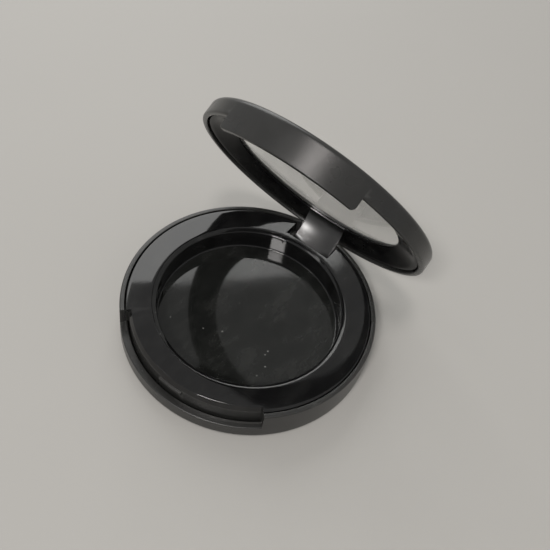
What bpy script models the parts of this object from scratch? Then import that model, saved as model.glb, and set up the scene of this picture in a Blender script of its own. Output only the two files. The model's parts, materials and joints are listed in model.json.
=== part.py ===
"""A round pocket case with one pan well, a hinged lid and a clear window, lid standing open."""

import math

import bmesh
import bpy
from mathutils import Matrix, Vector

MM = 0.001

# Driving sizes, in millimetres.
OUTER_RADIUS = 30.0
FACETS = 72
SEAT_GAP = 0.3  # between pieces that rest on each other
CUT_MARGIN = 1.0  # how far a cutter runs past what it cuts

BASE_HEIGHT = 8.8
BASE_WALL = 1.1
BASE_FLOOR = 1.2
BASE_FOOT_ROUND = 0.9
RIM_ROUND = 0.35
SHOULDER_HEIGHT = 4.0  # the step inside the base that the tray stands over
SHOULDER_WIDTH = 1.7

THUMB_ARC = 87.2  # degrees of rim cut away at the front
TAB_ARC = 66.4  # degrees of lid rim that carry the tab
TAB_DROP = 3.1

WELL_RADIUS = 21.7
WELL_FLOOR_HEIGHT = 3.0
WELL_WALL = 1.4
WELL_LIP = 1.1
WELL_LIP_DROP = 0.55
TRAY_EDGE_ROUND = 0.3
TRAY_SKIRT_WALL = 1.2
TRAY_TOP_WALL = 1.4
TRAY_FRONT_SET_BACK = 0.1
TRAY_BEVEL = 0.55
TRAY_BEVEL_DROP = 1.05

CATCH_LENGTH = 6.0
CATCH_REACH = 0.5
CATCH_HEIGHT = 0.7
CATCH_TOP_DROP = 1.6
CATCH_ROOT = 0.4

RIM_GAP = 0.3  # between the two rims when the lid is shut
LID_HEIGHT = 4.5
LID_WALL = 1.3
LID_TOP_ROUND = 1.2
LID_TOP_THICKNESS = 0.7
RIM_CHAMFER = 0.4
PLATE_GAP = 0.15  # between the flat faces stacked in the lid
WINDOW_THICKNESS = 0.6
WINDOW_SEAT = 2.3  # how far the window runs on behind the frame
WINDOW_LEDGE = 1.4  # how much of the window's edge the lid's top covers
FRAME_OPENING_RADIUS = 21.9
FRAME_EDGE = 0.3  # height of the frame's edge at the window
FRAME_LIP_WIDTH = 0.8
FRAME_LIP_SET_BACK = 0.6

HINGE_SET_IN = 3.2  # pivot behind the outer radius
HINGE_HEIGHT = 3.8
LID_OPEN_ANGLE = 61.0
PIN_RADIUS = 0.65
PIN_RUNNING_GAP = 0.06
ARM_WIDTH = 10.6
ARM_SIDE_GAP = 0.3
ARM_ROOT_HEIGHT = 1.4
ARM_COVE = 2.6
KNUCKLE_RADIUS = 1.7
KNUCKLE_CLEARANCE = 0.5
LUG_WIDTH = 1.7
LUG_WALL = 1.1
LUG_ROOT = 0.5  # how far the lugs run down into the floor
LUG_BACK_GAP = 0.2
NOTCH_SIDE_GAP = 1.0  # in the tray, beside the hinge arm
NOTCH_FRONT_GAP = 1.9  # in the tray, in front of the knuckle
HINGE_BLOCK_ARC = 50.0  # degrees of the tray left solid round the hinge

# Sizes that follow from the ones above.
TRAY_RADIUS = OUTER_RADIUS - BASE_WALL - SEAT_GAP
SHOULDER_RADIUS = OUTER_RADIUS - SHOULDER_WIDTH
TRAY_SKIRT_RADIUS = SHOULDER_RADIUS - SEAT_GAP
TRAY_FRONT_RADIUS = TRAY_SKIRT_RADIUS - TRAY_FRONT_SET_BACK
TRAY_BOTTOM = BASE_FLOOR + SEAT_GAP
LID_INNER_RADIUS = OUTER_RADIUS - LID_WALL
LID_RIM = BASE_HEIGHT + RIM_GAP
LID_TOP = LID_RIM + LID_HEIGHT
WINDOW_RADIUS = FRAME_OPENING_RADIUS + WINDOW_SEAT
WINDOW_TOP = LID_TOP - LID_TOP_THICKNESS - PLATE_GAP
FRAME_TOP = WINDOW_TOP - WINDOW_THICKNESS - PLATE_GAP
ARM_FACE = FRAME_TOP - ARM_ROOT_HEIGHT
FRAME_RADIUS = LID_INNER_RADIUS - SEAT_GAP
PIVOT = Vector((0.0, OUTER_RADIUS - HINGE_SET_IN, HINGE_HEIGHT))
SLOT_SIDE = ARM_WIDTH / 2 + ARM_SIDE_GAP
LUG_SIDE = SLOT_SIDE + LUG_WIDTH
LUG_REACH = PIN_RADIUS + LUG_WALL
NOTCH_SIDE = ARM_WIDTH / 2 + NOTCH_SIDE_GAP
NOTCH_FRONT = PIVOT.y - KNUCKLE_RADIUS - NOTCH_FRONT_GAP
FRONT = -90.0  # direction of the thumb cut, in degrees


def clear_scene():
    for obj in list(bpy.data.objects):
        bpy.data.objects.remove(obj, do_unlink=True)


def plastic(name, colour, roughness, metallic=0.0, alpha=1.0):
    made = bpy.data.materials.new(name)
    made.use_nodes = True
    shader = made.node_tree.nodes["Principled BSDF"]
    shader.inputs["Base Color"].default_value = (*colour, 1.0)
    shader.inputs["Roughness"].default_value = roughness
    shader.inputs["Metallic"].default_value = metallic
    shader.inputs["Alpha"].default_value = alpha
    made.diffuse_color = (*colour, alpha)
    return made


def arc(centre, reach, start, end, steps=3, rise=None):
    """Points of a round stretch, with angles in degrees; rise makes it an oval of that half height."""
    rise = reach if rise is None else rise
    angles = [math.radians(start + (end - start) * step / steps) for step in range(steps + 1)]
    return [(centre[0] + reach * math.cos(a), centre[1] + rise * math.sin(a)) for a in angles]


def turned(outline, start=0.0, sweep=360.0):
    """An outline of (radius, height) points turned about the vertical axis through the case."""
    shape = bmesh.new()
    whole = sweep >= 360.0
    steps = max(2, round(FACETS * sweep / 360.0))
    poles = {}
    rings = []
    for turn in range(steps if whole else steps + 1):
        angle = math.radians(start + sweep * turn / steps)
        ring = []
        for index, (radius, height) in enumerate(outline):
            if radius == 0.0 and index in poles:
                ring.append(poles[index])
                continue
            corner = shape.verts.new((radius * math.cos(angle), radius * math.sin(angle), height))
            if radius == 0.0:
                poles[index] = corner
            ring.append(corner)
        rings.append(ring)
    count = len(outline)
    for turn in range(steps):
        here, there = rings[turn], rings[(turn + 1) % len(rings)]
        for index in range(count):
            after = (index + 1) % count
            corners = [here[index], here[after], there[after], there[index]]
            corners = list(dict.fromkeys(corners))
            if len(corners) > 2:
                shape.faces.new(corners)
    if not whole:
        shape.faces.new(rings[0])
        shape.faces.new(rings[-1])
    bmesh.ops.recalc_face_normals(shape, faces=shape.faces)
    return shape


def block(low, high):
    """A box between two corners."""
    shape = bmesh.new()
    size = [b - a for a, b in zip(low, high)]
    middle = [(a + b) / 2 for a, b in zip(low, high)]
    place = Matrix.Translation(middle) @ Matrix.Diagonal((*size, 1.0))
    bmesh.ops.create_cube(shape, size=1.0, matrix=place)
    return shape


def sideways_prism(outline, half_width):
    """An outline of (depth, height) points drawn out to both sides along X."""
    shape = bmesh.new()
    left = [shape.verts.new((-half_width, y, z)) for y, z in outline]
    right = [shape.verts.new((half_width, y, z)) for y, z in outline]
    shape.faces.new(left)
    shape.faces.new(right)
    for index in range(len(outline)):
        after = (index + 1) % len(outline)
        shape.faces.new((left[index], left[after], right[after], right[index]))
    bmesh.ops.recalc_face_normals(shape, faces=shape.faces)
    return shape


def rod(radius, half_length, sides=24):
    """A round bar along X through the hinge's pivot."""
    turns = [2 * math.pi * side / sides for side in range(sides)]
    outline = [(PIVOT.y + radius * math.cos(a), PIVOT.z + radius * math.sin(a)) for a in turns]
    return sideways_prism(outline, half_length)


def placed(name, shape, finish=None, hinge=None):
    """An object made from a shape; one that swings has its origin on the hinge's axis."""
    origin = PIVOT if hinge else Vector()
    bmesh.ops.translate(shape, verts=shape.verts, vec=-origin)
    bmesh.ops.scale(shape, verts=shape.verts, vec=(MM, MM, MM))
    mesh = bpy.data.meshes.new(name)
    shape.to_mesh(mesh)
    shape.free()
    mesh.shade_smooth()
    mesh.set_sharp_from_angle(angle=math.radians(35.0))
    obj = bpy.data.objects.new(name, mesh)
    bpy.context.scene.collection.objects.link(obj)
    obj.parent = hinge
    if finish:
        mesh.materials.append(finish)
    return obj


def change(obj, operation, shape):
    """Cuts a shape from an object, or joins it on, with a Boolean modifier."""
    tool = placed(f"{obj.name}_{operation.lower()}_{len(obj.modifiers)}", shape, hinge=obj.parent)
    tool.hide_render = True
    tool.display_type = "WIRE"
    step = obj.modifiers.new(tool.name, "BOOLEAN")
    step.operation = operation
    step.object = tool


def make_base_shell(finish):
    edge = OUTER_RADIUS
    outline = [
        (0.0, 0.0),
        *arc((edge - BASE_FOOT_ROUND, BASE_FOOT_ROUND), BASE_FOOT_ROUND, -90, 0),
        *arc((edge - RIM_ROUND, BASE_HEIGHT - RIM_ROUND), RIM_ROUND, 0, 90),
        (edge - BASE_WALL, BASE_HEIGHT),
        (edge - BASE_WALL, SHOULDER_HEIGHT),
        (SHOULDER_RADIUS, SHOULDER_HEIGHT),
        (SHOULDER_RADIUS, BASE_FLOOR),
        (0.0, BASE_FLOOR),
    ]
    shell = placed("base_shell", turned(outline), finish)
    thumb_cut = [
        (SHOULDER_RADIUS - CUT_MARGIN, SHOULDER_HEIGHT),
        (edge + CUT_MARGIN, SHOULDER_HEIGHT),
        (edge + CUT_MARGIN, BASE_HEIGHT + CUT_MARGIN),
        (SHOULDER_RADIUS - CUT_MARGIN, BASE_HEIGHT + CUT_MARGIN),
    ]
    change(shell, "DIFFERENCE", turned(thumb_cut, FRONT - THUMB_ARC / 2, THUMB_ARC))
    lug_back = edge - BASE_WALL - LUG_BACK_GAP
    lug_low = (-LUG_SIDE, PIVOT.y - LUG_REACH, BASE_FLOOR - LUG_ROOT)
    lug_high = (LUG_SIDE, lug_back, PIVOT.z + LUG_REACH)
    change(shell, "UNION", block(lug_low, lug_high))
    slot_floor = PIVOT.z - KNUCKLE_RADIUS - KNUCKLE_CLEARANCE
    slot_low = (-SLOT_SIDE, PIVOT.y - LUG_REACH - CUT_MARGIN, slot_floor)
    slot_high = (SLOT_SIDE, edge + CUT_MARGIN, BASE_HEIGHT + CUT_MARGIN)
    change(shell, "DIFFERENCE", block(slot_low, slot_high))
    pin_hole = PIN_RADIUS + PIN_RUNNING_GAP
    change(shell, "DIFFERENCE", rod(pin_hole, LUG_SIDE + SEAT_GAP))
    return shell


def make_pan_tray(finish):
    edge = TRAY_EDGE_ROUND
    lip_centre = (WELL_RADIUS + WELL_LIP, BASE_HEIGHT - WELL_LIP_DROP)
    outline = [
        (0.0, TRAY_BOTTOM),
        (TRAY_SKIRT_RADIUS, TRAY_BOTTOM),
        (TRAY_SKIRT_RADIUS, SHOULDER_HEIGHT + SEAT_GAP),
        (TRAY_RADIUS, SHOULDER_HEIGHT + SEAT_GAP),
        *arc((TRAY_RADIUS - edge, BASE_HEIGHT - edge), edge, 0, 90, 2),
        *arc(lip_centre, WELL_LIP, 90, 180, 3, rise=WELL_LIP_DROP),
        (WELL_RADIUS, WELL_FLOOR_HEIGHT),
        (0.0, WELL_FLOOR_HEIGHT),
    ]
    tray = placed("pan_tray", turned(outline), finish)
    above = BASE_HEIGHT + CUT_MARGIN
    below = TRAY_BOTTOM - CUT_MARGIN
    front_cut = [
        (TRAY_FRONT_RADIUS, SHOULDER_HEIGHT),
        (TRAY_FRONT_RADIUS, BASE_HEIGHT - TRAY_BEVEL_DROP),
        (TRAY_FRONT_RADIUS - TRAY_BEVEL, BASE_HEIGHT),
        (TRAY_FRONT_RADIUS - TRAY_BEVEL, above),
        (OUTER_RADIUS, above),
        (OUTER_RADIUS, SHOULDER_HEIGHT),
    ]
    change(tray, "DIFFERENCE", turned(front_cut, FRONT - THUMB_ARC / 2, THUMB_ARC))
    catch_top = BASE_HEIGHT - CATCH_TOP_DROP
    catch = [
        (TRAY_FRONT_RADIUS - CATCH_ROOT, catch_top - CATCH_HEIGHT),
        (TRAY_FRONT_RADIUS + CATCH_REACH, catch_top - CATCH_HEIGHT),
        (TRAY_FRONT_RADIUS + CATCH_REACH, catch_top),
        (TRAY_FRONT_RADIUS - CATCH_ROOT, catch_top),
    ]
    catch_arc = math.degrees(CATCH_LENGTH / TRAY_FRONT_RADIUS)
    change(tray, "UNION", turned(catch, FRONT - catch_arc / 2, catch_arc))
    hollow = [
        (WELL_RADIUS + WELL_WALL, below),
        (TRAY_FRONT_RADIUS - TRAY_SKIRT_WALL, below),
        (TRAY_FRONT_RADIUS - TRAY_SKIRT_WALL, BASE_HEIGHT - TRAY_TOP_WALL),
        (WELL_RADIUS + WELL_WALL, BASE_HEIGHT - TRAY_TOP_WALL),
    ]
    change(tray, "DIFFERENCE", turned(hollow, 90 + HINGE_BLOCK_ARC / 2, 360 - HINGE_BLOCK_ARC))
    notch_low = (-NOTCH_SIDE, NOTCH_FRONT, below)
    notch_high = (NOTCH_SIDE, OUTER_RADIUS, above)
    change(tray, "DIFFERENCE", block(notch_low, notch_high))
    lug_room = LUG_SIDE + SEAT_GAP
    room_low = (-lug_room, PIVOT.y - LUG_REACH - SEAT_GAP, below)
    room_high = (lug_room, OUTER_RADIUS, PIVOT.z + LUG_REACH + SEAT_GAP)
    change(tray, "DIFFERENCE", block(room_low, room_high))
    return tray


def make_hinge_pin(finish):
    return placed("hinge_pin", rod(PIN_RADIUS, LUG_SIDE), finish)


def make_lid_shell(finish, hinge):
    edge = OUTER_RADIUS
    opening = WINDOW_RADIUS - WINDOW_LEDGE
    tab_end = LID_RIM - TAB_DROP
    outline = [
        (LID_INNER_RADIUS, tab_end),
        (edge, tab_end),
        *arc((edge - LID_TOP_ROUND, LID_TOP - LID_TOP_ROUND), LID_TOP_ROUND, 0, 90),
        (opening, LID_TOP),
        (opening, LID_TOP - LID_TOP_THICKNESS),
        (LID_INNER_RADIUS, LID_TOP - LID_TOP_THICKNESS),
    ]
    shell = placed("lid_shell", turned(outline), finish, hinge)
    rim_cut = [
        (LID_INNER_RADIUS - CUT_MARGIN, tab_end - CUT_MARGIN),
        (LID_INNER_RADIUS - CUT_MARGIN, LID_RIM + RIM_CHAMFER + CUT_MARGIN),
        (LID_INNER_RADIUS + RIM_CHAMFER, LID_RIM),
        (edge - RIM_CHAMFER, LID_RIM),
        (edge + CUT_MARGIN, LID_RIM + RIM_CHAMFER + CUT_MARGIN),
        (edge + CUT_MARGIN, tab_end - CUT_MARGIN),
    ]
    change(shell, "DIFFERENCE", turned(rim_cut, FRONT + TAB_ARC / 2, 360.0 - TAB_ARC))
    return shell


def make_window(finish, hinge):
    outline = [
        (0.0, WINDOW_TOP - WINDOW_THICKNESS),
        (WINDOW_RADIUS, WINDOW_TOP - WINDOW_THICKNESS),
        (WINDOW_RADIUS, WINDOW_TOP),
        (0.0, WINDOW_TOP),
    ]
    return placed("window", turned(outline), finish, hinge)


def make_lid_frame(finish, hinge):
    lip = LID_RIM + FRAME_LIP_SET_BACK
    outline = [
        (FRAME_OPENING_RADIUS, FRAME_TOP - FRAME_EDGE),
        (FRAME_RADIUS - FRAME_LIP_WIDTH, lip),
        (FRAME_RADIUS, lip),
        (FRAME_RADIUS, FRAME_TOP),
        (FRAME_OPENING_RADIUS, FRAME_TOP),
    ]
    frame = placed("lid_frame", turned(outline), finish, hinge)
    side = ARM_WIDTH / 2 + PLATE_GAP
    gap_low = (-side, 0.0, LID_RIM)
    gap_high = (side, OUTER_RADIUS, LID_TOP)
    change(frame, "DIFFERENCE", block(gap_low, gap_high))
    return frame


def make_hinge_arm(finish, hinge):
    front = PIVOT.y - KNUCKLE_RADIUS
    back = PIVOT.y + KNUCKLE_RADIUS
    root = FRAME_OPENING_RADIUS + PLATE_GAP
    window_edge = WINDOW_RADIUS + SEAT_GAP
    outline = [
        (root, ARM_FACE),
        (root, FRAME_TOP),
        (window_edge, FRAME_TOP),
        (window_edge, LID_TOP - LID_TOP_THICKNESS - PLATE_GAP),
        (back, LID_TOP - LID_TOP_THICKNESS - PLATE_GAP),
        *arc((PIVOT.y, PIVOT.z), KNUCKLE_RADIUS, 0, -180, 12),
        *arc((front - ARM_COVE, ARM_FACE - ARM_COVE), ARM_COVE, 0, 90, 6),
    ]
    arm = placed("hinge_arm", sideways_prism(outline, ARM_WIDTH / 2), finish, hinge)
    below = PIVOT.z - KNUCKLE_RADIUS - CUT_MARGIN
    outside = [
        (FRAME_RADIUS, below),
        (OUTER_RADIUS, below),
        (OUTER_RADIUS, LID_TOP),
        (FRAME_RADIUS, LID_TOP),
    ]
    change(arm, "DIFFERENCE", turned(outside, 90 - HINGE_BLOCK_ARC / 2, HINGE_BLOCK_ARC))
    change(arm, "DIFFERENCE", rod(PIN_RADIUS + PIN_RUNNING_GAP, ARM_WIDTH))
    return arm


def main():
    clear_scene()
    matte_black = plastic("matte_black", (0.030, 0.030, 0.029), 0.48)
    gloss_black = plastic("gloss_black", (0.012, 0.012, 0.013), 0.12)
    clear = plastic("clear_plastic", (0.90, 0.91, 0.90), 0.05, alpha=0.25)
    steel = plastic("pin_steel", (0.55, 0.55, 0.56), 0.30, metallic=1.0)

    hinge = bpy.data.objects.new("lid_hinge", None)
    bpy.context.scene.collection.objects.link(hinge)
    hinge.location = PIVOT * MM
    hinge.rotation_euler.x = -math.radians(LID_OPEN_ANGLE)

    make_base_shell(matte_black)
    make_pan_tray(gloss_black)
    make_hinge_pin(steel)
    make_lid_shell(matte_black, hinge)
    make_lid_frame(gloss_black, hinge)
    make_window(clear, hinge)
    make_hinge_arm(gloss_black, hinge)


main()
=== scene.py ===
import json
import math
import bmesh
import bpy
from mathutils import Matrix, Vector


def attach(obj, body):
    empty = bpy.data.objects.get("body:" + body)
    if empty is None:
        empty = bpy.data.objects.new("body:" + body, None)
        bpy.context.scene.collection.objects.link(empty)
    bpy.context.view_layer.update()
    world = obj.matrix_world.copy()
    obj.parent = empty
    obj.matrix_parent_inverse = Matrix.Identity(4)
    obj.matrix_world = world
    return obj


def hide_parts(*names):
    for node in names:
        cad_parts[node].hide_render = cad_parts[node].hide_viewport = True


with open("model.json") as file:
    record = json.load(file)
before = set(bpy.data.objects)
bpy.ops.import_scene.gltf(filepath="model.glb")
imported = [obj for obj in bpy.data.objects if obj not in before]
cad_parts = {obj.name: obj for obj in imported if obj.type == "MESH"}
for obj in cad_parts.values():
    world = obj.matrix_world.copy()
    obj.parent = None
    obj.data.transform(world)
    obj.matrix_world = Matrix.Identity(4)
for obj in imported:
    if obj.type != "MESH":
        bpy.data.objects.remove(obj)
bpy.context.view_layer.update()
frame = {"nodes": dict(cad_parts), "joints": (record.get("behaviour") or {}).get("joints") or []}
print("frame loaded:", len(frame["nodes"]), "parts")

mm = 0.001
hinge = frame["joints"][0]
pivot = Vector(hinge["pos_m"])
pinY, pinZ = pivot.y / mm, pivot.z / mm  # the hinge runs along X through here
openAngle = math.radians(-hinge["range_deg"][0])
# the lid is modelled shut, then swung to where it stands open
openLid = Matrix.Translation(pivot) @ Matrix.Rotation(-openAngle, 4, "X") @ Matrix.Translation(-pivot)
front = -90.0  # degrees round the case, from +X towards +Y
back = 90.0
ringStep = 1.5  # degrees from one ring of points to the next


# place, lens and sensor in mm, near and far in metres
camera = {
    "place": (51.89, -92.93, 156.97), "right": (0.79489, 0.59217, 0.13224), "down": (0.53940, -0.58984, -0.60095),
    "lens": 51.05, "sensor": 36.0, "near": 0.005, "far": 20.0,
}


def makeCamera(sizes):
    right = Vector(sizes["right"]).normalized()
    up = -Vector(sizes["down"]).normalized()
    turn = Matrix((right, up, right.cross(up))).transposed()
    data = bpy.data.cameras.new("viewCamera")
    data.lens = sizes["lens"]
    data.sensor_width = sizes["sensor"]
    data.clip_start = sizes["near"]
    data.clip_end = sizes["far"]
    made = bpy.data.objects.new("viewCamera", data)
    bpy.context.scene.collection.objects.link(made)
    made.matrix_world = Matrix.Translation(Vector(sizes["place"]) * mm) @ turn.to_4x4()
    bpy.context.scene.camera = made


# azimuth turns from +Y towards +X, both angles in degrees, sizes and distance in metres
lamps = {
    "backPanel": {
        "azimuth": -48, "elevation": 33.2, "distance": 0.7, "size": (0.52, 0.52), "level": 2.7,
        "tint": (1.0, 1.0, 0.985),
    },
    "keyLamp": {
        "azimuth": 172, "elevation": 50, "distance": 1.2, "size": (0.24, 0.11), "level": 90.0,
        "tint": (1.0, 0.975, 0.95),
    },
    "topLamp": {
        "azimuth": 176, "elevation": 76, "distance": 1.2, "size": (0.17, 0.20), "level": 30.0,
        "tint": (1.0, 0.94, 0.91),
    },
    "sideLamp": {
        "azimuth": -132, "elevation": 59, "distance": 1.2, "size": (0.18, 0.18), "level": 2.5,
        "tint": (1.0, 0.985, 0.965),
    },
}
room = {"level": 0.42, "tint": (1.0, 0.995, 0.98)}
table = {
    "reach": 1.1, "colour": (0.365, 0.358, 0.341), "roughness": 0.6, "sheen": 0.2,
    "mottleScale": 14.0, "mottle": 0.02,
}


def makeLamp(name, facts):
    azimuth, elevation = math.radians(facts["azimuth"]), math.radians(facts["elevation"])
    flat = math.cos(elevation)
    towards = Vector((math.sin(azimuth) * flat, math.cos(azimuth) * flat, math.sin(elevation)))
    data = bpy.data.lights.new(name, "AREA")
    data.shape = "RECTANGLE"
    data.size, data.size_y = facts["size"]
    # level is how bright the panel itself looks, so its power follows its area
    data.energy = facts["level"] * math.pi * facts["size"][0] * facts["size"][1]
    data.color = facts["tint"]
    made = bpy.data.objects.new(name, data)
    bpy.context.scene.collection.objects.link(made)
    made.location = towards * facts["distance"]
    made.rotation_euler = towards.to_track_quat("Z", "Y").to_euler()


def makeRoom(facts):
    world = bpy.data.worlds.new("room")
    bpy.context.scene.world = world
    world.use_nodes = True
    light = world.node_tree.nodes["Background"]
    light.inputs["Color"].default_value = (*facts["tint"], 1.0)
    light.inputs["Strength"].default_value = facts["level"]


def newGroup(name, inputs, outputs):
    group = bpy.data.node_groups.new(name, "ShaderNodeTree")
    for label, value in inputs.items():
        socket = group.interface.new_socket(name=label, in_out="INPUT", socket_type="NodeSocketFloat")
        socket.default_value = value
    for label in outputs:
        group.interface.new_socket(name=label, in_out="OUTPUT", socket_type="NodeSocketFloat")
    return group, group.nodes.new("NodeGroupInput").outputs, group.nodes.new("NodeGroupOutput").inputs


def node(tree, kind, inputs=(), **settings):
    made = tree.nodes.new(kind)
    for key, value in settings.items():
        setattr(made, key, value)
    for key, value in dict(inputs).items():
        if isinstance(value, bpy.types.NodeSocket):
            tree.links.new(value, made.inputs[key])
        else:
            made.inputs[key].default_value = value
    return made


def objectPlace(tree):
    return node(tree, "ShaderNodeTexCoord").outputs["Object"]


def noise(tree, place, scale, detail, **more):
    sockets = {"Vector": place, "Scale": scale, "Detail": detail, **more}
    return node(tree, "ShaderNodeTexNoise", sockets).outputs["Fac"]


def spread(tree, value, fromLow, fromHigh, toLow=0.0, toHigh=1.0):
    sockets = {"Value": value, "From Min": fromLow, "From Max": fromHigh, "To Min": toLow, "To Max": toHigh}
    return node(tree, "ShaderNodeMapRange", sockets).outputs[0]


def calculate(tree, operation, first, second):
    return node(tree, "ShaderNodeMath", {0: first, 1: second}, operation=operation).outputs[0]


def mixColours(tree, share, under, over):
    # 6 and 7 are the node's two colours, and 2 is the colour that it gives
    pair = [tint if isinstance(tint, bpy.types.NodeSocket) else (*tint, 1.0) for tint in (under, over)]
    return node(tree, "ShaderNodeMix", {"Factor": share, 6: pair[0], 7: pair[1]}, data_type="RGBA").outputs[2]


def makeGrainGroup():
    group, given, put = newGroup("mouldGrain", {"Scale": 2500.0, "Contrast": 0.5}, ["Height", "Mask"])
    place = objectPlace(group)
    fine = noise(group, place, given["Scale"], detail=3.0, Roughness=0.6)
    broad = spread(group, noise(group, place, scale=90.0, detail=2.0), fromLow=0.3, fromHigh=0.7)
    mask = calculate(group, "MULTIPLY", calculate(group, "MULTIPLY", fine, given["Contrast"]), broad)
    group.links.new(fine, put["Height"])
    group.links.new(mask, put["Mask"])
    return group


def makeDustGroup():
    # one round speck in the middle of a cell, in only some of the cells
    group, given, put = newGroup("dustSpecks", {"Scale": 420.0, "Size": 0.07, "Share": 0.12}, ["Mask"])
    cells = node(group, "ShaderNodeTexVoronoi", {"Vector": objectPlace(group), "Scale": given["Scale"]}).outputs
    pick = node(group, "ShaderNodeSeparateColor", {"Color": cells["Color"]}).outputs[0]
    near = calculate(group, "LESS_THAN", cells["Distance"], given["Size"])
    chosen = calculate(group, "LESS_THAN", pick, given["Share"])
    group.links.new(calculate(group, "MULTIPLY", near, chosen), put["Mask"])
    return group


def makeScuffGroup():
    # uneven gloss, the slow swell of a moulded face, and streaks where it was wiped
    group, given, put = newGroup(
        "handlingScuffs", {"Scale": 60.0, "Low": 0.08, "High": 0.2}, ["Roughness", "Height", "Smudge"],
    )
    place = objectPlace(group)
    haze = noise(group, place, given["Scale"], detail=4.0, Distortion=0.6)
    gloss = spread(group, haze, fromLow=0.35, fromHigh=0.75, toLow=given["Low"], toHigh=given["High"])
    streaks = {"Vector": place, "Scale": (1.0, 0.45, 1.0), "Rotation": (0.0, 0.0, 0.7)}
    stretched = node(group, "ShaderNodeMapping", streaks).outputs[0]
    wipes = noise(group, stretched, scale=260.0, detail=5.0, Roughness=0.65)
    group.links.new(gloss, put["Roughness"])
    group.links.new(noise(group, place, scale=45.0, detail=1.0), put["Height"])
    group.links.new(spread(group, wipes, fromLow=0.45, fromHigh=0.8), put["Smudge"])
    return group


def makePaintedEdgeHighlightGroup():
    # lighter colour where the surface turns sharply: a painted edge highlight
    group, given, put = newGroup("paintedEdgeHighlight", {"Start": 0.52, "End": 0.60}, ["Mask"])
    sharpness = node(group, "ShaderNodeNewGeometry").outputs["Pointiness"]
    group.links.new(spread(group, sharpness, fromLow=given["Start"], fromHigh=given["End"]), put["Mask"])
    return group


grainGroup = makeGrainGroup()
dustGroup = makeDustGroup()
scuffGroup = makeScuffGroup()
paintedEdgeHighlightGroup = makePaintedEdgeHighlightGroup()


def useGroup(tree, group, **values):
    made = tree.nodes.new("ShaderNodeGroup")
    made.node_tree = group
    for key, value in values.items():
        made.inputs[key].default_value = value
    return made.outputs


def newMaterial(name, constants):
    made = bpy.data.materials.new(name)
    made.use_nodes = True
    shader = made.node_tree.nodes["Principled BSDF"]
    for key, value in constants.items():
        shader.inputs[key].default_value = value
    return made, made.node_tree, shader.inputs


smudgeColour = (0.20, 0.20, 0.19)
dustColour = (0.45, 0.45, 0.43)
swellDepth = 0.001  # metres
grainDepth = 0.00005


def makePlastic(name, facts):
    made, tree, shader = newMaterial(name, {"IOR": facts["ior"], "Specular IOR Level": facts["sheen"]})
    grain = useGroup(tree, grainGroup, Scale=facts["grainScale"], Contrast=facts["grainContrast"])
    dust = useGroup(tree, dustGroup, Scale=facts["dustScale"], Size=facts["dustSize"], Share=facts["dustShare"])
    scuff = useGroup(tree, scuffGroup, Low=facts["roughLow"], High=facts["roughHigh"])
    edge = useGroup(tree, paintedEdgeHighlightGroup)
    # the bare plastic first, then a painted highlight on its sharp edges, then the smudges and dust that lie on it
    colour = mixColours(tree, grain["Mask"], facts["dark"], facts["light"])
    for mask, strength, tint in (
        # painted highlight: a lighter tint laid on the sharp edges
        (edge["Mask"], facts["paintedEdgeHighlight"], facts["paintedHighlightTint"]),
        (scuff["Smudge"], facts["smudge"], smudgeColour),
        (dust["Mask"], facts["dustLevel"], dustColour),
    ):
        colour = mixColours(tree, calculate(tree, "MULTIPLY", mask, strength), colour, tint)
    tree.links.new(colour, shader["Base Color"])
    tree.links.new(scuff["Roughness"], shader["Roughness"])
    broad = {"Height": scuff["Height"], "Strength": facts["swell"], "Distance": swellDepth}
    fine = {"Height": grain["Height"], "Strength": facts["bump"], "Distance": grainDepth}
    fine["Normal"] = node(tree, "ShaderNodeBump", broad).outputs["Normal"]
    tree.links.new(node(tree, "ShaderNodeBump", fine).outputs["Normal"], shader["Normal"])
    return made


# what the black plastics share, each one below changes some of it; the edge strength and its tint paint a highlight
# on sharp edges
plainPlastic = {
    "ior": 1.5, "sheen": 0.5, "grainScale": 900.0, "grainContrast": 0.5, "bump": 0.02, "swell": 0.004, "paintedEdgeHighlight": 0.4,
    "dustScale": 330.0, "dustSize": 0.035, "dustShare": 0.05, "dustLevel": 0.5, "smudge": 0.05,
}
matteBlack = makePlastic("matteBlack", {
    **plainPlastic, "dark": (0.015, 0.015, 0.0143), "light": (0.024, 0.024, 0.0228), "paintedHighlightTint": (0.05, 0.05, 0.048),
    "roughLow": 0.26, "roughHigh": 0.32, "grainScale": 5200.0, "grainContrast": 0.6, "bump": 0.4, "swell": 0.0,
    "paintedEdgeHighlight": 0.5, "dustScale": 300.0, "dustShare": 0.04, "dustLevel": 0.2, "smudge": 0.03,
})
glossBlack = makePlastic("glossBlack", {
    **plainPlastic, "dark": (0.004, 0.004, 0.0042), "light": (0.007, 0.007, 0.007), "paintedHighlightTint": (0.02, 0.02, 0.02),
    "roughLow": 0.035, "roughHigh": 0.10, "dustScale": 620.0, "dustSize": 0.06, "dustShare": 0.10,
    "dustLevel": 0.45, "smudge": 0.035,
})
frameBlack = makePlastic("frameBlack", {
    **plainPlastic, "ior": 1.14, "sheen": 0.2, "dark": (0.003, 0.003, 0.0032), "light": (0.006, 0.006, 0.006),
    "paintedHighlightTint": (0.03, 0.03, 0.03), "roughLow": 0.10, "roughHigh": 0.18,
})
wellBlack = makePlastic("wellBlack", {
    **plainPlastic, "sheen": 0.42, "dark": (0.007, 0.0075, 0.007), "light": (0.012, 0.0125, 0.0118),
    "paintedHighlightTint": (0.03, 0.03, 0.03), "roughLow": 0.035, "roughHigh": 0.09, "grainScale": 1400.0, "grainContrast": 0.7,
    "paintedEdgeHighlight": 0.2, "dustScale": 520.0, "dustSize": 0.085, "dustShare": 0.12, "dustLevel": 0.4, "smudge": 0.06,
})
armBlack = makePlastic("armBlack", {
    **plainPlastic, "sheen": 0.8, "dark": (0.006, 0.006, 0.0062), "light": (0.012, 0.012, 0.012),
    "paintedHighlightTint": (0.05, 0.05, 0.05), "roughLow": 0.27, "roughHigh": 0.33, "swell": 0.03,
})


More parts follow.
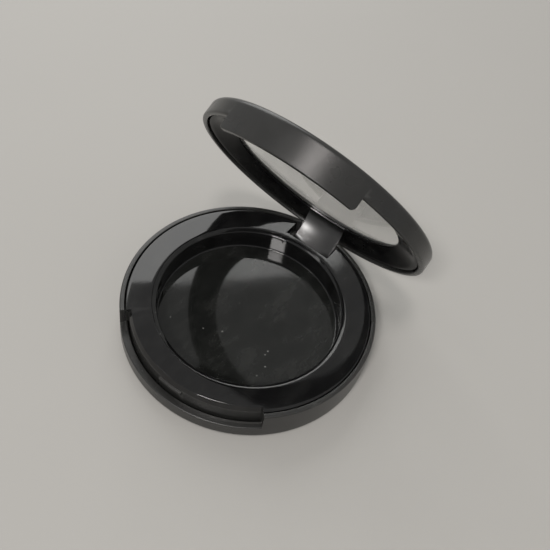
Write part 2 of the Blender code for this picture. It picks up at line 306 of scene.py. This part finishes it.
def makeClear(name, facts):
    made, tree, shader = newMaterial(name, {"IOR": facts["ior"], "Transmission Weight": 1.0})
    dust = useGroup(tree, dustGroup, Scale=facts["dustScale"], Size=facts["dustSize"], Share=facts["dustShare"])
    scuff = useGroup(tree, scuffGroup, Low=facts["roughLow"], High=facts["roughHigh"])
    tree.links.new(mixColours(tree, dust["Mask"], facts["colour"], facts["dustColour"]), shader["Base Color"])
    tree.links.new(scuff["Roughness"], shader["Roughness"])
    # the pane holds back only a little of the lamps' light, so its shadow stays faint
    shadowRay = node(tree, "ShaderNodeLightPath").outputs["Is Shadow Ray"]
    alpha = spread(tree, shadowRay, fromLow=0.0, fromHigh=1.0, toLow=1.0, toHigh=facts["shade"])
    tree.links.new(alpha, shader["Alpha"])
    return made


clearPlastic = makeClear("clearPlastic", {
    "ior": 1.18, "colour": (0.97, 0.975, 0.965), "roughLow": 0.0, "roughHigh": 0.004, "shade": 0.12,
    "dustScale": 240.0, "dustSize": 0.05, "dustShare": 0.05, "dustColour": (0.8, 0.8, 0.78),
})


def makeSteel(name, facts):
    made, tree, shader = newMaterial(name, {"Metallic": 1.0})
    scuff = useGroup(tree, scuffGroup, Scale=facts["scuffScale"], Low=facts["roughLow"], High=facts["roughHigh"])
    grain = useGroup(tree, grainGroup, Scale=facts["grainScale"], Contrast=facts["grainContrast"])
    tree.links.new(mixColours(tree, grain["Mask"], facts["dark"], facts["light"]), shader["Base Color"])
    tree.links.new(scuff["Roughness"], shader["Roughness"])
    return made


pinSteel = makeSteel("pinSteel", {
    "dark": (0.42, 0.42, 0.43), "light": (0.60, 0.60, 0.61), "roughLow": 0.24, "roughHigh": 0.36,
    "scuffScale": 900.0, "grainScale": 3000.0, "grainContrast": 0.8,
})
print("finishes are mixed")


def makeTableFinish(facts):
    constants = {"Roughness": facts["roughness"], "Specular IOR Level": facts["sheen"]}
    made, tree, shader = newMaterial("tablePaper", constants)
    mottle = noise(tree, objectPlace(tree), facts["mottleScale"], detail=3.0)
    dull = [value * (1 - facts["mottle"]) for value in facts["colour"]]
    pale = [value * (1 + facts["mottle"]) for value in facts["colour"]]
    tree.links.new(mixColours(tree, mottle, dull, pale), shader["Base Color"])
    return made


def makeTable(facts):
    shape = bmesh.new()
    reach = facts["reach"]
    corners = ((-reach, -reach), (reach, -reach), (reach, reach), (-reach, reach))
    shape.faces.new([shape.verts.new((x, y, 0.0)) for x, y in corners])
    mesh = bpy.data.meshes.new("tableTop")
    shape.to_mesh(mesh)
    shape.free()
    mesh.materials.append(makeTableFinish(facts))
    made = bpy.data.objects.new("tableTop", mesh)
    bpy.context.scene.collection.objects.link(made)


makeCamera(camera)
for lampName, lampFacts in lamps.items():
    makeLamp(lampName, lampFacts)
makeRoom(room)
makeTable(table)
print("camera, lamps and table are in")


# outlines are lists of points in mm, (distance from the middle, height) for the round pieces and
# (along Y, height) for the lugs, the arm and the pin
def arcPoints(centre, reach, start, end, count, rise=None):
    # start and end in degrees, a rise of its own makes the arc oval
    rise = reach if rise is None else rise
    angles = [math.radians(start + (end - start) * i / count) for i in range(count + 1)]
    return [(centre[0] + reach * math.cos(a), centre[1] + rise * math.sin(a)) for a in angles]


def pinCircle(reach, count):
    return arcPoints((pinY, pinZ), reach, 0, 360 * (count - 1) / count, count - 1)


def anglesBetween(start, end, size=ringStep):
    count = max(1, round((end - start) / size))
    return [start + (end - start) * i / count for i in range(count + 1)]


def ringAt(outline, degrees):
    a = math.radians(degrees)
    return [(r * math.cos(a), r * math.sin(a), z) for r, z in outline]


def ringsBetween(outline, start, end):
    return [ringAt(outline, a) for a in anglesBetween(start, end)]


def addRing(shape, points):
    return [shape.verts.new(Vector(p) * mm) for p in points]


def joinRings(shape, here, there):
    for index in range(len(here)):
        after = (index + 1) % len(here)
        shape.faces.new((here[index], here[after], there[after], there[index]))


def skinRings(shape, rings, closed=True, capped=True):
    made = [addRing(shape, ring) for ring in rings]
    for here, there in zip(made, made[1:]):
        joinRings(shape, here, there)
    if closed:
        joinRings(shape, made[-1], made[0])
    elif capped:
        shape.faces.new(made[0])
        shape.faces.new(made[-1])
    return made


def fillRound(shape, rim, bore):
    # a flat face with a round hole in it
    pairs = [(ring[i], ring[(i + 1) % len(ring)]) for ring in (rim, bore) for i in range(len(ring))]
    edges = [shape.edges.get(pair) or shape.edges.new(pair) for pair in pairs]
    bmesh.ops.triangle_fill(shape, use_beauty=True, edges=edges)


weldReach = 0.002 * mm  # points closer than this become one
sliverReach = 0.001 * mm
sharpFrom = math.radians(38.0)  # faces that meet at more than this keep a sharp edge


def finishPiece(name, shape, facts):
    bmesh.ops.remove_doubles(shape, verts=shape.verts, dist=weldReach)
    bmesh.ops.dissolve_degenerate(shape, edges=shape.edges, dist=sliverReach)
    bmesh.ops.recalc_face_normals(shape, faces=shape.faces)
    if facts["body"] == "lid":
        bmesh.ops.transform(shape, matrix=openLid, verts=shape.verts)
    mesh = bpy.data.meshes.new(name)
    shape.to_mesh(mesh)
    shape.free()
    for finish in facts["finishes"]:
        mesh.materials.append(finish)
    mesh.shade_smooth()
    mesh.set_sharp_from_angle(angle=sharpFrom)
    made = bpy.data.objects.new(name, mesh)
    bpy.context.scene.collection.objects.link(made)
    if "bevel" in facts:
        soften = made.modifiers.new("softEdges", "BEVEL")
        soften.width = facts["bevel"] * mm
        soften.segments = 2
        soften.limit_method = "ANGLE"
        soften.angle_limit = sharpFrom
    flats = made.modifiers.new("flatFaces", "WEIGHTED_NORMAL")  # keeps gloss true on the long flats
    flats.keep_sharp = True
    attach(made, facts["body"])
    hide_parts(*facts["standsFor"])
    print(name, "made with", len(mesh.polygons), "faces")


baseShell = {
    "radius": 30.0, "height": 8.8, "wall": 1.1, "floor": 1.2, "foot": 0.9, "rimRound": 0.35, "innerRound": 0.12,
    "ledge": 4.0, "ledgeInner": 28.3, "ledgeRound": 0.18, "ledgeChamfer": 0.15, "thumbArc": 87.2,
    "floorLoop": 18.0, "wallLoop": 1.0,  # extra rows of points that hold the flats flat
    "slotHalf": 5.6, "slotFloor": 1.6, "slotBlend": 20.0, "wallMargin": 0.6, "sillMargin": 1.0,
    "lugWidth": 1.7, "lugReach": 1.75, "lugBack": 28.7, "lugLow": 0.9, "lugSlope": 0.4, "pinHole": 0.71,
    "body": "base", "slot": "shell_plastic", "standsFor": ["base_shell"], "finishes": [matteBlack], "bevel": 0.1,
}


def baseOutline(facts):
    r, h, ledge, ledgeInner = facts["radius"], facts["height"], facts["ledge"], facts["ledgeInner"]
    foot, rim, small, loop = facts["foot"], facts["rimRound"], facts["innerRound"], facts["wallLoop"]
    inner, chamfer = r - facts["wall"], facts["ledgeChamfer"]
    lower = [(0.0, 0.0), (facts["floorLoop"], 0.0)] + arcPoints((r - foot, foot), foot, -90, 0, 6)
    lower += [(r, ledge - facts["ledgeRound"])]
    upper = [(r, ledge), (r, ledge + loop), (r, h - rim - loop)]
    upper += arcPoints((r - rim, h - rim), rim, 0, 90, 5)
    upper += arcPoints((inner + small, h - small), small, 90, 180, 2)
    upper += [(inner, ledge + loop), (inner, ledge)]
    low = [(ledgeInner + chamfer, ledge), (ledgeInner, ledge - chamfer)]
    low += [(ledgeInner, facts["floor"]), (0.0, facts["floor"])]
    return lower, upper, low


def thumbLedge(facts, count):
    # as many points as the wall has, laid along the ledge with a rounded outer edge
    height, rounding = facts["ledge"], facts["ledgeRound"]
    outer, inner = facts["radius"] - rounding, facts["radius"] - facts["wall"]
    laid = arcPoints((outer, height - rounding), rounding, 0, 90, 3)
    rest = count - len(laid)
    return laid + [(outer + (inner - outer) * (i + 1) / rest, height) for i in range(rest)]


def makeLug(shape, facts, side):
    reach = facts["lugReach"]
    outline = [(facts["lugBack"], facts["lugLow"]), (facts["lugBack"], pinZ + reach * facts["lugSlope"])]
    outline += arcPoints((pinY, pinZ), reach, 20, 180, 10)
    outline += [(pinY - reach, facts["lugLow"])]
    hole = pinCircle(facts["pinHole"], 24)
    near, far = side * facts["slotHalf"], side * (facts["slotHalf"] + facts["lugWidth"])
    ends = [[addRing(shape, [(x, a, b) for a, b in points]) for points in (outline, hole)] for x in (near, far)]
    for here, there in zip(*ends):
        joinRings(shape, here, there)
    for rim, bore in ends:
        fillRound(shape, rim, bore)


def makeBaseShell(facts):
    lower, upper, low = baseOutline(facts)
    full = lower + upper + low
    thumb = lower + thumbLedge(facts, len(upper)) + low
    sill = [(r, min(z, facts["slotFloor"])) for r, z in full]
    half, slotHalf = facts["thumbArc"] / 2, facts["slotHalf"]

    def slotSide(outline, side):
        # the slot's sides are flat, and run together towards the middle of the floor
        ring = []
        for r, z in outline:
            share = min(1.0, r / facts["slotBlend"])
            ring.append((side * slotHalf * share, math.sqrt(max(0.0, r * r - slotHalf * slotHalf)) * share, z))
        return ring

    slotEdge = math.degrees(math.asin(slotHalf / facts["radius"]))
    wallEnd, sillEnd = slotEdge + facts["wallMargin"], slotEdge - facts["sillMargin"]
    rings = ringsBetween(thumb, front - half, front + half)
    rings += ringsBetween(full, front + half, back - wallEnd)
    rings += [slotSide(full, 1), slotSide(sill, 1)]
    rings += ringsBetween(sill, back - sillEnd, back + sillEnd)
    rings += [slotSide(sill, -1), slotSide(full, -1)]
    rings += ringsBetween(full, back + wallEnd, front + 360 - half)
    shape = bmesh.new()
    skinRings(shape, rings)
    for side in (-1, 1):
        makeLug(shape, facts, side)
    finishPiece("baseShell", shape, facts)


makeBaseShell(baseShell)


# the lists of pairs are small steps, across and up, that soften the edge they are named for
panTray = {
    "radius": 28.6, "top": 8.8, "edge": 0.28, "topLoop": 0.5, "skirt": 28.0, "skirtTop": 4.3, "bottom": 1.5,
    "wellRadius": 21.7, "wellFloor": 3.0, "floorRound": 0.45, "floorLoop": 10.85, "lipWidth": 1.1, "lipDrop": 0.55,
    "lipFoot": [(0.0, -1.5), (0.0, -0.12), (0.05, -0.02), (0.16, 0.05)],
    "lipHead": [(-0.28, -0.09), (-0.1, -0.02), (0.1, 0.0), (0.6, 0.0)],
    "frontRadius": 27.9, "frontBevel": 0.55, "frontBevelDrop": 1.05, "thumbArc": 87.2,
    "bevelHead": [(-0.5, 0.0), (-0.14, 0.0), (-0.04, -0.02), (0.03, -0.1)],
    "bevelFoot": [(-0.05, 0.06), (0.0, -0.04)],
    "ribLength": 6.0, "ribReach": 0.5, "ribLow": 6.5, "ribTop": 7.2, "ribLoop": 0.1, "skirtEase": 0.1,
    "ribHead": (-0.05, 0.12), "ribFoot": (0.0, -0.15),
    "notchHalf": 6.3, "notchFront": 23.2, "notchMargin": 0.3, "notchSlices": 16, "sideMargin": 1.0,
    "sideBand": 0.3, "floorFinishFrom": 2.5, "floorFinishTo": 3.01,  # where the other two finishes go
    "body": "base", "slot": "tray_plastic", "standsFor": ["pan_tray"],
    "finishes": [glossBlack, matteBlack, wellBlack], "bevel": 0.08,
}


def trayOutlines(facts):
    top, well, floor, rounding = facts["top"], facts["wellRadius"], facts["wellFloor"], facts["floorRound"]
    r, edge, f, bottom = facts["radius"], facts["edge"], facts["frontRadius"], facts["bottom"]
    skirt, skirtTop, ease = facts["skirt"], facts["skirtTop"], facts["skirtEase"]
    ribTop, ribLow, loop = facts["ribTop"], facts["ribLow"], facts["ribLoop"]
    wall = [ribTop + loop, ribTop, ribLow, ribLow - loop, skirtTop]
    inner = [(0.0, floor), (facts["floorLoop"], floor)]
    inner += arcPoints((well - rounding, floor + rounding), rounding, -90, 0, 5)
    inner += [(well + across, top - facts["lipDrop"] + up) for across, up in facts["lipFoot"]]
    inner += [(well + facts["lipWidth"] + across, top + up) for across, up in facts["lipHead"]]
    full = [(r - edge - facts["topLoop"], top)] + arcPoints((r - edge, top - edge), edge, 90, 0, 4)
    full += [(r, z) for z in wall] + [(skirt, skirtTop), (skirt, bottom), (0.0, bottom)]
    bevel = [(f - facts["frontBevel"] + across, top + up) for across, up in facts["bevelHead"]]
    bevel += [(f + across, top - facts["frontBevelDrop"] + up) for across, up in facts["bevelFoot"]]
    below = [(f, skirtTop), (f, skirtTop - ease), (skirt - ease, bottom), (0.0, bottom)]
    ribReach, head, foot = f + facts["ribReach"], facts["ribHead"], facts["ribFoot"]
    rib = [(f + head[0], ribTop + head[1]), (ribReach, ribTop), (ribReach, ribLow), (f + foot[0], ribLow + foot[1])]
    return inner + full, inner + bevel + [(f, z) for z in wall[:4]] + below, inner + bevel + rib + below


def makePanTray(facts):
    full, plain, ribbed = trayOutlines(facts)
    half = facts["thumbArc"] / 2
    ribHalf = math.degrees(facts["ribLength"] / 2 / facts["frontRadius"])
    notchHalf, notchFront = facts["notchHalf"], facts["notchFront"]
    corner, cornerAngle = math.hypot(notchHalf, notchFront), math.atan2(notchHalf, notchFront)

    def notchRing(x):
        # the outer part is pulled in to the notch's flat front
        angle = math.atan2(x, notchFront)
        limit = notchFront / math.cos(angle)
        return ringAt([(min(r, limit), z) for r, z in full], back - math.degrees(angle))

    def sideRing(side, cut):
        ring = []
        for r, z in full:
            if r <= corner:
                across, along = r * math.sin(cornerAngle), r * math.cos(cornerAngle)
            elif cut:
                across, along = notchHalf, notchFront
            else:
                across, along = notchHalf, math.sqrt(r * r - notchHalf * notchHalf)
            ring.append((side * across, along, z))
        return ring

    sideEnd = math.degrees(cornerAngle) + facts["sideMargin"]
    span, slices = notchHalf - facts["notchMargin"], facts["notchSlices"]
    rings = ringsBetween(plain, front - half, front - ribHalf)
    rings += ringsBetween(ribbed, front - ribHalf, front + ribHalf)
    rings += ringsBetween(plain, front + ribHalf, front + half)
    rings += ringsBetween(full, front + half, back - sideEnd)
    rings += [sideRing(1, False), sideRing(1, True)]
    rings += [notchRing(span - 2 * span * i / slices) for i in range(slices + 1)]
    rings += [sideRing(-1, True), sideRing(-1, False)]
    rings += ringsBetween(full, back + sideEnd, front + 360 - half)
    shape = bmesh.new()
    skinRings(shape, rings)
    sideFrom, sideTop = facts["frontRadius"] - facts["sideBand"], facts["top"] - facts["frontBevelDrop"]
    floorReach = facts["wellRadius"] - facts["floorRound"]
    for face in shape.faces:
        middle = face.calc_center_median() / mm
        if middle.xy.length > sideFrom and middle.z < sideTop:
            face.material_index = 1
        elif middle.xy.length < floorReach and facts["floorFinishFrom"] < middle.z < facts["floorFinishTo"]:
            face.material_index = 2
    finishPiece("panTray", shape, facts)


makePanTray(panTray)


lidShell = {
    "radius": 30.0, "rim": 9.1, "height": 4.5, "wall": 1.3, "topRound": 1.2, "topThickness": 0.7,
    "rimOuter": 0.5, "rimInner": 0.35, "opening": 22.8, "openingRound": 0.35, "tabArc": 66.4,
    "tabDrop": 3.1, "tabCorner": 0.8, "tabCornerSteps": 6, "tabEdge": 0.22,
    "rimLoop": 0.6, "wallLoop": 1.2, "topLoop": 0.4,  # extra rows of points beside the rounded edges
    "body": "lid", "slot": "shell_plastic", "standsFor": ["lid_shell"], "finishes": [matteBlack], "bevel": 0.1,
}


def lidOutline(facts, bottom, outerRound, innerRound):
    r, top = facts["radius"], facts["rim"] + facts["height"]
    inner, under = r - facts["wall"], top - facts["topThickness"]
    topRound, rimLoop, topLoop = facts["topRound"], facts["rimLoop"], facts["topLoop"]
    opening, small = facts["opening"], facts["openingRound"]
    points = [(inner, under), (inner, bottom + innerRound + rimLoop)]
    points += arcPoints((inner + innerRound, bottom + innerRound), innerRound, 180, 270, 4)
    points += arcPoints((r - outerRound, bottom + outerRound), outerRound, -90, 0, 4)
    points += [(r, bottom + outerRound + rimLoop), (r, facts["rim"] + facts["wallLoop"])]
    points += [(r, top - topRound - topLoop)]
    points += arcPoints((r - topRound, top - topRound), topRound, 0, 90, 8)
    points += [(opening + small + topLoop, top)]
    points += arcPoints((opening + small, top - small), small, 90, 180, 4)
    return points + [(opening, under)]


def makeLidShell(facts):
    tabHalf, corner, count = facts["tabArc"] / 2, facts["tabCorner"], facts["tabCornerSteps"]
    tabLow = facts["rim"] - facts["tabDrop"]
    cornerArc = math.degrees(corner / facts["radius"])

    def tabRing(a):
        # the tab's two lower corners are rounded
        fromEnd = math.radians(tabHalf - abs(a - front)) * facts["radius"]
        lift = corner - math.sqrt(max(0.0, corner**2 - max(0.0, corner - fromEnd) ** 2))
        return ringAt(lidOutline(facts, tabLow + lift, facts["tabEdge"], facts["tabEdge"]), a)

    ends = [tabHalf - cornerArc * (1 - math.cos(math.radians(90 * i / count))) for i in range(count + 1)]
    angles = [front - e for e in ends]
    angles += anglesBetween(front - tabHalf + cornerArc, front + tabHalf - cornerArc)[1:-1]
    angles += [front + e for e in reversed(ends)]
    plain = lidOutline(facts, facts["rim"], facts["rimOuter"], facts["rimInner"])
    shape = bmesh.new()
    skinRings(shape, [tabRing(a) for a in angles] + ringsBetween(plain, front + tabHalf, front + 360 - tabHalf))
    finishPiece("lidShell", shape, facts)


makeLidShell(lidShell)


lidFrame = {
    "radius": 28.4, "lipWidth": 0.8, "lip": 9.7, "lipRound": 0.15, "lipStep": 0.03, "edgeLow": 11.7, "top": 12.0,
    "opening": 21.9, "edgeRound": 0.12, "slopeRows": (0.3, 0.6, 0.9), "gapHalf": 5.45, "endMargin": 3.0,
    "body": "lid", "slot": "tray_plastic", "standsFor": ["lid_frame"], "finishes": [frameBlack], "bevel": 0.06,
}


def makeLidFrame(facts):
    # a ring that slopes down from the window to the lip, open where the arm passes
    r, low, high, top = facts["radius"], facts["lip"], facts["edgeLow"], facts["top"]
    opening, small, rounding, half = facts["opening"], facts["edgeRound"], facts["lipRound"], facts["gapHalf"]
    lipInner = r - facts["lipWidth"]
    outline = [(opening, top), (opening, high + small), (opening + small, high)]
    for share in facts["slopeRows"]:
        outline.append((opening + (lipInner - opening) * share, high + (low - high) * share))
    outline += [(lipInner, low + facts["lipStep"])]
    outline += arcPoints((r - rounding, low + rounding), rounding, 270, 360, 2) + [(r, top)]

    def endRing(side):
        return [(side * half, math.sqrt(p * p - half * half), z) for p, z in outline]

    gap = math.degrees(math.asin(half / r)) + facts["endMargin"]
    shape = bmesh.new()
    rings = [endRing(-1)] + ringsBetween(outline, back + gap, back + 360 - gap) + [endRing(1)]
    skinRings(shape, rings, closed=False)
    finishPiece("lidFrame", shape, facts)


makeLidFrame(lidFrame)


windowPane = {
    "radius": 24.2, "low": 12.15, "top": 12.75, "edge": 0.12, "loop": 12.1, "ringStep": 2.5,
    "body": "lid", "slot": "window_clear", "standsFor": ["window"], "finishes": [clearPlastic],
}


def makeWindow(facts):
    r, low, top, e, loop = facts["radius"], facts["low"], facts["top"], facts["edge"], facts["loop"]
    outline = [(0.0, low), (loop, low), (r - e, low), (r, low + e)]
    outline += [(r, top - e), (r - e, top), (loop, top), (0.0, top)]
    shape = bmesh.new()
    skinRings(shape, [ringAt(outline, a) for a in anglesBetween(0, 360, facts["ringStep"])[:-1]])
    finishPiece("windowPane", shape, facts)


makeWindow(windowPane)


hingeArm = {
    "width": 10.6, "knuckle": 1.7, "root": 22.05, "face": 11.7, "coveLow": 4.4, "frameTop": 12.0,
    "windowEdge": 24.5, "top": 12.75, "back": 28.2, "backStep": 0.8, "edge": 0.22, "edgeShare": 0.3,
    "slices": 12, "pinHole": 0.71,
    "body": "lid", "slot": "tray_plastic", "standsFor": ["hinge_arm"], "finishes": [armBlack],
}


def makeHingeArm(facts):
    k, half, edge, root = facts["knuckle"], facts["width"] / 2, facts["edge"], facts["root"]
    frameTop, windowEdge, armBack, low = facts["frameTop"], facts["windowEdge"], facts["back"], facts["coveLow"]
    outline = [(root, frameTop), (windowEdge, frameTop), (windowEdge, facts["top"])]
    outline += [(armBack, facts["top"]), (armBack, pinZ + facts["backStep"])]
    outline += arcPoints((pinY, pinZ), k, 20, -180, 18)
    coveStart = len(outline)
    outline += arcPoints((root, low), pinY - k - root, 0, 90, 16, facts["face"] - low)
    middle = sum((Vector(p) for p in outline), Vector((0.0, 0.0))) / len(outline)

    def armRing(x, inset):
        # the front face runs round with the well's wall, so its sides stand further forward
        ring = []
        for index, (a, b) in enumerate(outline):
            if index >= coveStart or index == 0:
                a = math.sqrt(a * a - x * x)
            point = Vector((a, b))
            point += (middle - point).normalized() * inset
            ring.append((x, point.x, point.y))
        return ring

    flat, small, slices = half - edge, edge * facts["edgeShare"], facts["slices"]
    rings = [armRing(-half, edge), armRing(small - half, small)]
    rings += [armRing(2 * flat * i / slices - flat, 0.0) for i in range(slices + 1)]
    rings += [armRing(half - small, small), armRing(half, edge)]
    shape = bmesh.new()
    made = skinRings(shape, rings, closed=False, capped=False)
    hole = pinCircle(facts["pinHole"], 24)
    bores = [addRing(shape, [(x, a, b) for a, b in hole]) for x in (-half, half)]
    joinRings(shape, *bores)
    fillRound(shape, made[0], bores[0])
    fillRound(shape, made[-1], bores[1])
    finishPiece("hingeArm", shape, facts)


makeHingeArm(hingeArm)


hingePin = {
    "radius": 0.65, "half": 7.3, "chamfer": 0.15, "sides": 32,
    "body": "base", "slot": "pin_steel", "standsFor": ["hinge_pin"], "finishes": [pinSteel],
}


def makeHingePin(facts):
    r, half, c = facts["radius"], facts["half"], facts["chamfer"]
    stations = [(-half, r - c), (-half + c, r), (-half / 2, r), (half / 2, r), (half - c, r), (half, r - c)]
    shape = bmesh.new()
    rings = [[(x, a, b) for a, b in pinCircle(reach, facts["sides"])] for x, reach in stations]
    skinRings(shape, rings, closed=False)
    finishPiece("hingePin", shape, facts)


makeHingePin(hingePin)

bpy.context.scene.view_settings.view_transform = "Standard"
